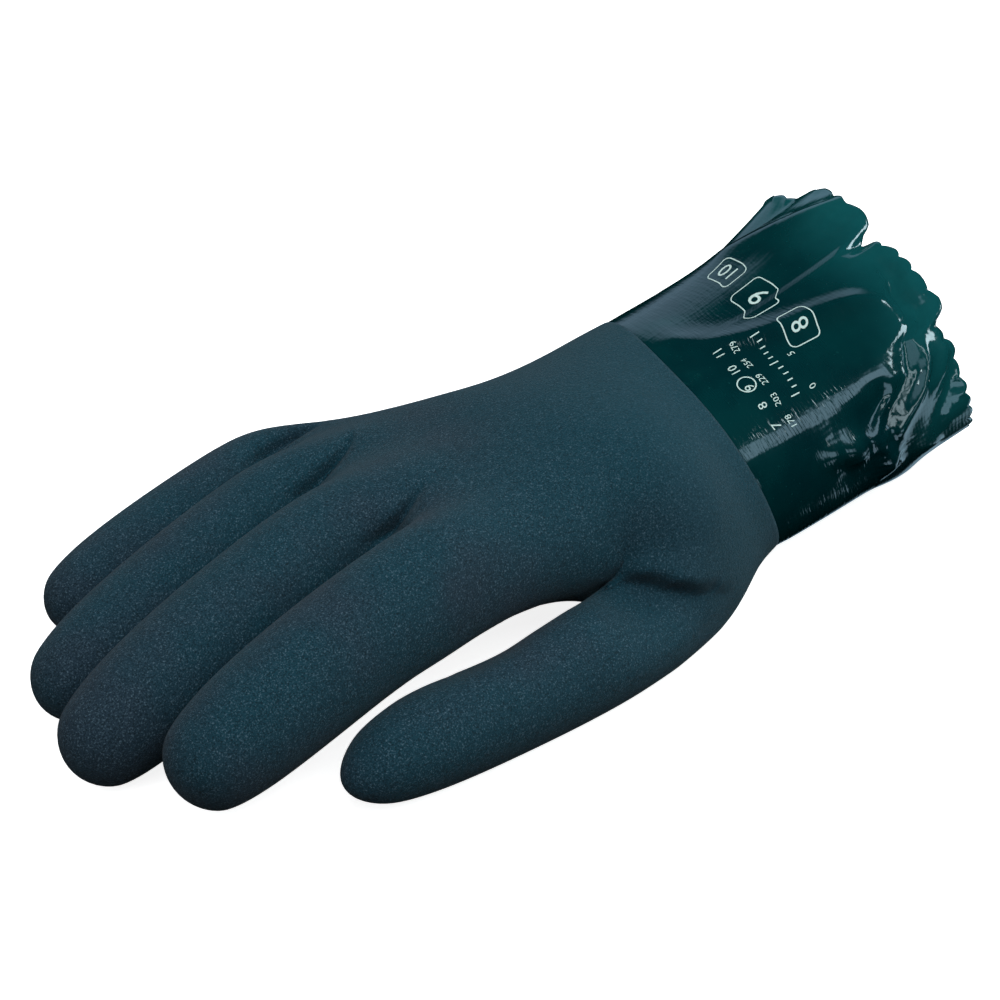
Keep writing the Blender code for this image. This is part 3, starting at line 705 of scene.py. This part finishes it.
def tube(name, read_rim, shares, columns):
    """An open tube over the cuff's surface, with its flat places as a UV map and as attributes."""
    angles = np.arange(columns) / columns * math.tau
    angle, share = np.meshgrid(angles, shares, indexing="ij")
    places = cuff_places(read_rim, angle, share).reshape(-1, 3)
    rows = len(shares)
    faces = []
    for column in range(columns):
        here, beside = column * rows, (column + 1) % columns * rows
        faces += [(here + row, here + row + 1, beside + row + 1, beside + row) for row in range(rows - 1)]
    mesh = bpy.data.meshes.new(name)
    mesh.from_pydata(places, [], faces)
    flat = mesh.uv_layers.new(name="unrolled")
    for polygon in mesh.polygons:
        column = polygon.index // (rows - 1)
        for corner in polygon.loop_indices:
            vertex = mesh.loops[corner].vertex_index
            turn = vertex // rows
            turn = columns if turn == 0 and column == columns - 1 else turn
            flat.data[corner].uv = unrolled(turn / columns * 360, shares[vertex % rows])
    round_it = mesh.attributes.new("turn", "FLOAT", "POINT")
    round_it.data.foreach_set("value", (angle / math.tau).ravel())
    along_it = mesh.attributes.new("share", "FLOAT", "POINT")
    along_it.data.foreach_set("value", share.ravel())
    return mesh


def geometry_tree(name, inputs):
    """A geometry tree with named inputs, its maker, its input node and its output node."""
    tree = bpy.data.node_groups.new(name, "GeometryNodeTree")
    tree.interface.new_socket("Geometry", in_out="INPUT", socket_type="NodeSocketGeometry")
    for label in inputs:
        tree.interface.new_socket(label, in_out="INPUT", socket_type="NodeSocketFloat")
    tree.interface.new_socket("Geometry", in_out="OUTPUT", socket_type="NodeSocketGeometry")
    maker = Maker(tree)
    return tree, maker, maker.node("NodeGroupInput"), maker.node("NodeGroupOutput")


def grow(piece, tree, values):
    """Runs a geometry tree on a piece and keeps the plain mesh."""
    modifier = piece.modifiers.new(tree.name, "NODES")
    modifier.node_group = tree
    for item in tree.interface.items_tree:
        if item.item_type == "SOCKET" and item.in_out == "INPUT" and item.name in values:
            modifier[item.identifier] = values[item.name]
    return made_plain(piece)


def close_tree(maker, geometry, finish, result):
    """Ends a geometry tree: real mesh in its finish."""
    whole = maker.out("GeometryNodeRealizeInstances", 0, {}, {"Geometry": geometry})
    dressed = maker.out("GeometryNodeSetMaterial", 0, {}, {"Geometry": whole, "Material": finish})
    maker.feed(result.inputs["Geometry"], dressed)


def pinking_tree(finish):
    """Cuts small uneven scallops into the mouth's edge."""
    tree, maker, given, result = geometry_tree("pinked edge", ("scallops", "depth", "reach"))
    turn = maker.out("GeometryNodeInputNamedAttribute", 0, {"data_type": "FLOAT"}, {"Name": "turn"})
    share = maker.out("GeometryNodeInputNamedAttribute", 0, {"data_type": "FLOAT"}, {"Name": "share"})
    count = Socket(maker, given.outputs["scallops"])
    depth = Socket(maker, given.outputs["depth"])
    reach = Socket(maker, given.outputs["reach"])
    drift = (turn * (math.tau * 5)).sin() * 0.25 + (turn * (math.tau * 11)).sin() * 0.12
    lobe = ((turn * count + drift) * math.pi).sin().absolute() ** 0.7
    cut = (lobe - 1.0) * depth * (share - 1.0 + reach).between(0.0, reach)
    offset = maker.out("ShaderNodeCombineXYZ", 0, {}, {"X": cut})
    skin = Socket(maker, given.outputs["Geometry"])
    moved = maker.out("GeometryNodeSetPosition", 0, {}, {"Geometry": skin, "Offset": offset})
    close_tree(maker, moved, finish, result)
    return tree


def stitch_tree(finish):
    """Sets a knit stitch, two short yarn legs in a V, on every point of a bed."""
    tree, maker, given, result = geometry_tree("knit stitches", ("width", "height", "yarn"))
    width = Socket(maker, given.outputs["width"])
    height = Socket(maker, given.outputs["height"])
    yarn = Socket(maker, given.outputs["yarn"])
    ring = {"Resolution": 3, "Radius": yarn}
    profile = maker.out("GeometryNodeCurvePrimitiveCircle", "Curve", {"mode": "RADIUS"}, ring)
    legs = maker.node("GeometryNodeJoinGeometry")
    for side in (-1.0, 1.0):
        spots = {
            "Start": {"X": height * -0.62},
            "Middle": {"X": height * 0.1, "Y": width * (side * 0.34), "Z": yarn * 1.1},
            "End": {"X": height * 0.55, "Y": width * (side * 0.40), "Z": yarn * -0.6},
        }
        bend = {name: maker.out("ShaderNodeCombineXYZ", 0, {}, spot) for name, spot in spots.items()}
        leg = maker.out("GeometryNodeCurveQuadraticBezier", 0, {}, {"Resolution": 2, **bend})
        body = maker.out("GeometryNodeCurveToMesh", 0, {}, {"Curve": leg, "Profile Curve": profile})
        tree.links.new(body.socket, legs.inputs[0])
    vector = {"data_type": "FLOAT_VECTOR"}
    along = maker.out("GeometryNodeInputNamedAttribute", 0, vector, {"Name": "wale"})
    outward = maker.out("GeometryNodeInputNamedAttribute", 0, vector, {"Name": "face"})
    turned = maker.out("FunctionNodeAlignEulerToVector", 0, {"axis": "X"}, {"Vector": along})
    roll = {"axis": "Z", "pivot_axis": "X"}
    turned = maker.out("FunctionNodeAlignEulerToVector", 0, roll, {"Rotation": turned, "Vector": outward})
    stitches = maker.out("GeometryNodeInstanceOnPoints", 0, {}, {
        "Points": Socket(maker, given.outputs["Geometry"]),
        "Instance": Socket(maker, legs.outputs[0]),
        "Rotation": turned,
    })
    close_tree(maker, stitches, finish, result)
    return tree


def add_wall(piece, thickness):
    """Gives an open skin its thickness inwards."""
    wall = piece.modifiers.new("wall", "SOLIDIFY")
    wall.thickness = thickness
    wall.offset = -1.0
    wall.use_even_offset = False
    wall.use_rim = True


def crease(mesh):
    """Lays the creases into the hand, on a finer mesh beside their lines."""
    for squareness, facing, stations in CREASES.values():
        run = smooth_run(stations)
        run[:, :3] *= MILLIMETRE
        towards = np.array(facing) / np.linalg.norm(facing)
        fine = bmesh.new()
        fine.from_mesh(mesh)
        close = run[:, :3]
        near = set()
        for vert in fine.verts:
            if np.abs(close - np.array(vert.co)).max(axis=1).min() < CREASE_ZONE:
                near.update(vert.link_edges)
        bmesh.ops.subdivide_edges(fine, edges=list(near), cuts=1, use_grid_fill=True)
        fine.to_mesh(mesh)
        fine.free()
        places = places_of(mesh)
        places += towards * folds_over(places, [(squareness, run)], towards)[:, None]
        mesh.vertices.foreach_set("co", places.ravel())


def make_hand(frame, coat, yarn):
    """The sandy hand with its cloth inside."""
    hand = add_piece("sandy_hand", hand_form(frame["nodes"]), coat, coat, yarn)
    smooth = hand.modifiers.new("smooth", "SUBSURF")
    smooth.levels = smooth.render_levels = SKIN_LEVELS
    made_plain(hand)
    crease(hand.data)
    return hand


def make_cuff(read_rim, coat):
    """The gloss cuff with its folds and its pinked edge."""
    shares = np.concatenate([TUCKED_ROWS, np.linspace(0.0, 1.0, CUFF_ROWS)])
    cuff = add_piece("gloss_cuff", tube("gloss_cuff", read_rim, shares, CUFF_COLUMNS), coat)
    sizes = {"scallops": float(SCALLOPS), "depth": SCALLOP_DEPTH, "reach": SCALLOP_SHARE}
    grow(cuff, pinking_tree(coat), sizes)
    add_wall(cuff, CUFF_WALL)
    return made_plain(cuff)


def make_lining(read_rim, yarn):
    """The knitted sleeve inside the cuff."""
    reach = 1.0 - (SCALLOP_DEPTH + LINING_SETBACK) / CUFF_LENGTH
    shares = np.concatenate([[LINING_START], np.linspace(0.0, reach, LINING_ROWS)])
    lining = add_piece("knit_lining", tube("knit_lining", read_rim, shares, LINING_COLUMNS), yarn)
    inset = lining.modifiers.new("inside the coat", "DISPLACE")
    inset.direction = "NORMAL"
    inset.mid_level = 0.0
    inset.strength = -(CUFF_WALL + LINING_GAP)
    add_wall(lining, LINING_WALL)
    return made_plain(lining)


def make_stitches(read_rim, yarn):
    """Knit stitches over the lining's inner face, rows along the sleeve."""
    columns = round(math.tau * MOUTH_RADIUS / STITCH_WIDTH)
    rows = round(CUFF_LENGTH * (STITCHED_TO - STITCHED_FROM) / STITCH_HEIGHT) + 1
    angles = np.arange(columns) / columns * math.tau
    angle, share = np.meshgrid(angles, np.linspace(STITCHED_FROM, STITCHED_TO, rows), indexing="ij")
    inward = -outward_of(read_rim, angle, share)
    ahead = cuff_places(read_rim, angle, share + PROBE) - cuff_places(read_rim, angle, share - PROBE)
    bed = cuff_places(read_rim, angle, share) + inward * (CUFF_WALL + LINING_GAP + LINING_WALL)
    mesh = bpy.data.meshes.new("lining_stitches")
    mesh.from_pydata(bed.reshape(-1, 3), [], [])
    for name, values in (("wale", ahead), ("face", inward)):
        mesh.attributes.new(name, "FLOAT_VECTOR", "POINT").data.foreach_set("vector", values.ravel())
    stitches = add_piece("lining_stitches", mesh, yarn)
    sizes = {"width": STITCH_WIDTH, "height": STITCH_HEIGHT, "yarn": YARN_RADIUS}
    return grow(stitches, stitch_tree(yarn), sizes)


def outline_ribbon(half_width, half_height, radius):
    """A closed line of even width round a rounded frame, as flat points and faces."""
    points = []
    for corner, (across, up) in enumerate(((1, 1), (-1, 1), (-1, -1), (1, -1))):
        for step in range(CORNER_STEPS + 1):
            turn = (corner + step / CORNER_STEPS) * math.pi / 2
            spot = Vector((across * (half_width - radius), up * (half_height - radius)))
            points.append((spot, Vector((math.cos(turn), math.sin(turn)))))
    dense = []
    for (spot, out), (after, _) in zip(points, points[1:] + points[:1]):
        steps = max(1, int((after - spot).length / RIBBON_STEP))
        dense += [(spot.lerp(after, step / steps), out) for step in range(steps)]
    edge = [spot + out * (radius + side * MARK_LINE / 2) for spot, out in dense for side in (1, -1)]
    count = len(edge)
    return edge, [(k, (k + 2) % count, (k + 3) % count, k + 1) for k in range(0, count, 2)]


def tick(place, length):
    """A short straight line across the scale."""
    half = MARK_LINE / 2
    corners = [(-half, 0.0), (half, 0.0), (half, length), (-half, length)]
    return [Vector((place + x, y)) for x, y in corners], [(0, 1, 2, 3)]


def lettering(words, height):
    """Flat points and faces of some figures, their middle at zero."""
    curve = bpy.data.curves.new("figures", "FONT")
    curve.body = words
    curve.size = height / FIGURE_SHARE
    curve.align_x = "CENTER"
    curve.resolution_u = 3
    holder = bpy.data.objects.new("figures", curve)
    bpy.context.scene.collection.objects.link(holder)
    mesh = bpy.data.meshes.new_from_object(holder.evaluated_get(bpy.context.evaluated_depsgraph_get()))
    points = [Vector((vertex.co.x, vertex.co.y - height / 2)) for vertex in mesh.vertices]
    faces = [tuple(polygon.vertices) for polygon in mesh.polygons]
    bpy.data.objects.remove(holder, do_unlink=True)
    return points, faces


def outward_of(read_rim, angle, share):
    """The cuff's outward direction at places on it."""
    ahead = cuff_places(read_rim, angle, share + PROBE) - cuff_places(read_rim, angle, share - PROBE)
    aside = cuff_places(read_rim, angle + PROBE, share) - cuff_places(read_rim, angle - PROBE, share)
    outward = np.cross(ahead, aside)
    return outward / np.linalg.norm(outward, axis=-1, keepdims=True)


def make_marks(read_rim, ink):
    """Size figures, a ring on one of them, frames and a plain scale, laid on the folded cuff."""
    flat = [(lettering(words, height), *place) for words, *place, height in MARK_WORDS.values()]
    flat += [(outline_ribbon(*sizes), angle, share) for *sizes, angle, share in MARK_FRAMES.values()]
    for number in range(SCALE_TICKS):
        length = SHORT_TICK if number % TICKS_TO_A_LONG_ONE else LONG_TICK
        flat.append((tick(number * SCALE_STEP, length), SCALE_START, SCALE_SHARE))
    turn_of = MILLIMETRE / MOUTH_RADIUS
    share_of = MILLIMETRE / CUFF_LENGTH
    mesh = bmesh.new()
    for (points, faces), angle, share in flat:
        start = math.radians(angle)
        places = [(start + spot.x * turn_of, share - spot.y * share_of, 0.0) for spot in points]
        verts = [mesh.verts.new(place) for place in places]
        for face in faces:
            mesh.faces.new([verts[corner] for corner in face])
    marks = bpy.data.meshes.new("size_marks")
    mesh.to_mesh(marks)
    mesh.free()
    rolled = places_of(marks)
    angle, share = rolled[:, 0], rolled[:, 1]
    outward = outward_of(read_rim, angle, share)
    marks.vertices.foreach_set("co", (cuff_places(read_rim, angle, share) + outward * MARK_LIFT).ravel())
    return add_piece("size_marks", marks, ink)


def square_of(name, half_width, half_height, level):
    """A flat rectangle, facing up."""
    mesh = bpy.data.meshes.new(name)
    corners = [(x * half_width, y * half_height, level) for x, y in SQUARE_CORNERS]
    mesh.from_pydata(corners, [], [(0, 1, 2, 3)])
    return mesh


def make_plane(name, drop, base, glow, hidden_from):
    """A wide level plane this far below the glove's bed, hidden from some kinds of ray."""
    constants = {
        "Base_Color": (base, base, base, 1.0), "Roughness": 1.0, "Specular_IOR_Level": 0.0,
        "Emission_Color": (*WHITE, 1.0), "Emission_Strength": glow,
    }
    finish = finish_of(name, **constants)[0]
    plane = add_piece(name, square_of(name, FLOOR_HALF_WIDTH, FLOOR_HALF_WIDTH, -drop), finish)
    for rays in hidden_from:
        setattr(plane, f"visible_{rays}", False)


def make_stage():
    """A white floor that fills the view, and a dim one below it that keeps the underside dark."""
    make_plane("white floor", 0.0, 0.9, 0.85, ("glossy", "diffuse"))
    make_plane("dim floor", 0.002, 0.0, 0.05, ("camera", "glossy", "shadow"))


def direction(azimuth, elevation):
    """The unit vector from the glove towards a place in the room."""
    a = math.radians(azimuth)
    e = math.radians(elevation)
    return Vector((math.sin(a) * math.cos(e), -math.cos(a) * math.cos(e), math.sin(e)))


def aim(thing, row, middle):
    """Sets a lamp or a card at its place round the glove, facing it."""
    towards = direction(row["azimuth"], row["elevation"])
    thing.location = middle + towards * row["distance"]
    thing.rotation_euler = towards.to_track_quat("Z", "Y").to_euler()


def card_glow(name, card):
    """A glow that fades out towards the card's edges."""
    constants = {"Base_Color": (*BLACK, 1.0), "Specular_IOR_Level": 0.0, "Emission_Strength": card["glow"]}
    glow, maker, shader = finish_of(name, **constants)
    across, up = maker.parts(maker.out("ShaderNodeUVMap", "UV", {"uv_map": "card"}))
    fades = [(1.0 - side.absolute()).between(0.0, card["soft"]) for side in (across, up)]
    colour = maker.blend(fades[0] * fades[1], BLACK, (card["red"], card["green"], card["blue"]))
    maker.feed(shader.inputs["Emission Color"], colour)
    return glow


def make_room():
    """A white room that only the matte surfaces see."""
    world = bpy.data.worlds.new("studio")
    bpy.context.scene.world = world
    world.use_nodes = True
    backdrop = world.node_tree.nodes["Background"]
    backdrop.inputs["Color"].default_value = (*WHITE, 1.0)
    backdrop.inputs["Strength"].default_value = ROOM_GLOW
    world.cycles_visibility.glossy = False


def make_lamp(name, row, middle):
    """A soft box for the matte hand."""
    data = bpy.data.lights.new(name, "AREA")
    data.shape = "RECTANGLE"
    data.size = row["width"]
    data.size_y = row["height"]
    data.energy = row["power"]
    data.color = (row["red"], row["green"], row["blue"])
    lamp = bpy.data.objects.new(name, data)
    bpy.context.scene.collection.objects.link(lamp)
    aim(lamp, row, middle)
    lamp.visible_camera = False
    lamp.visible_glossy = False


def make_card(name, row, middle):
    """A card that the gloss cuff reflects."""
    mesh = square_of(name, row["width"] / 2, row["height"] / 2, 0.0)
    flat = mesh.uv_layers.new(name="card")
    for corner, spot in zip(flat.data, SQUARE_CORNERS):
        corner.uv = spot
    card = add_piece(name, mesh, card_glow(name, row))
    aim(card, row, middle)
    for rays in ("camera", "diffuse", "transmission", "shadow", "volume_scatter"):
        setattr(card, f"visible_{rays}", False)


def make_lights():
    """The room, the soft boxes and the cards."""
    make_room()
    middle = Vector(CAMERA_TARGET)
    for name, values in LIGHTS.items():
        make_lamp(name, dict(zip(LIGHT_COLUMNS, values)), middle)
    for name, values in CARDS.items():
        make_card(name, dict(zip(CARD_COLUMNS, values)), middle)


def make_camera():
    """The camera at the photograph's angle."""
    data = bpy.data.cameras.new("camera")
    data.lens = CAMERA_LENS
    data.sensor_width = CAMERA_SENSOR
    camera = bpy.data.objects.new("camera", data)
    bpy.context.scene.collection.objects.link(camera)
    back = direction(CAMERA_AZIMUTH, CAMERA_ELEVATION)
    camera.location = Vector(CAMERA_TARGET) + back * CAMERA_DISTANCE
    camera.rotation_euler = back.to_track_quat("Z", "Y").to_euler()
    bpy.context.scene.camera = camera


def main():
    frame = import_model()
    coat = sandy_coat()
    gloss = gloss_coat()
    yarn = knit_yarn()
    hand = make_hand(frame, coat, yarn)
    read_rim = rim_reader(hand.data)
    cuff = make_cuff(read_rim, gloss)
    lining = make_lining(read_rim, yarn)
    stitches = make_stitches(read_rim, yarn)
    marks = make_marks(read_rim, mark_ink())
    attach(marks, "root")
    for piece, finish in ((hand, "sandy_pvc"), (cuff, "gloss_pvc"), (lining, "knit"), (stitches, "knit")):
        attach(piece, "root")
    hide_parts(*HAND_SHELLS)
    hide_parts("gauntlet_cuff")
    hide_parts("cuff_lining")
    make_stage()
    make_lights()
    make_camera()
    bpy.context.scene.view_settings.view_transform = "Standard"


main()
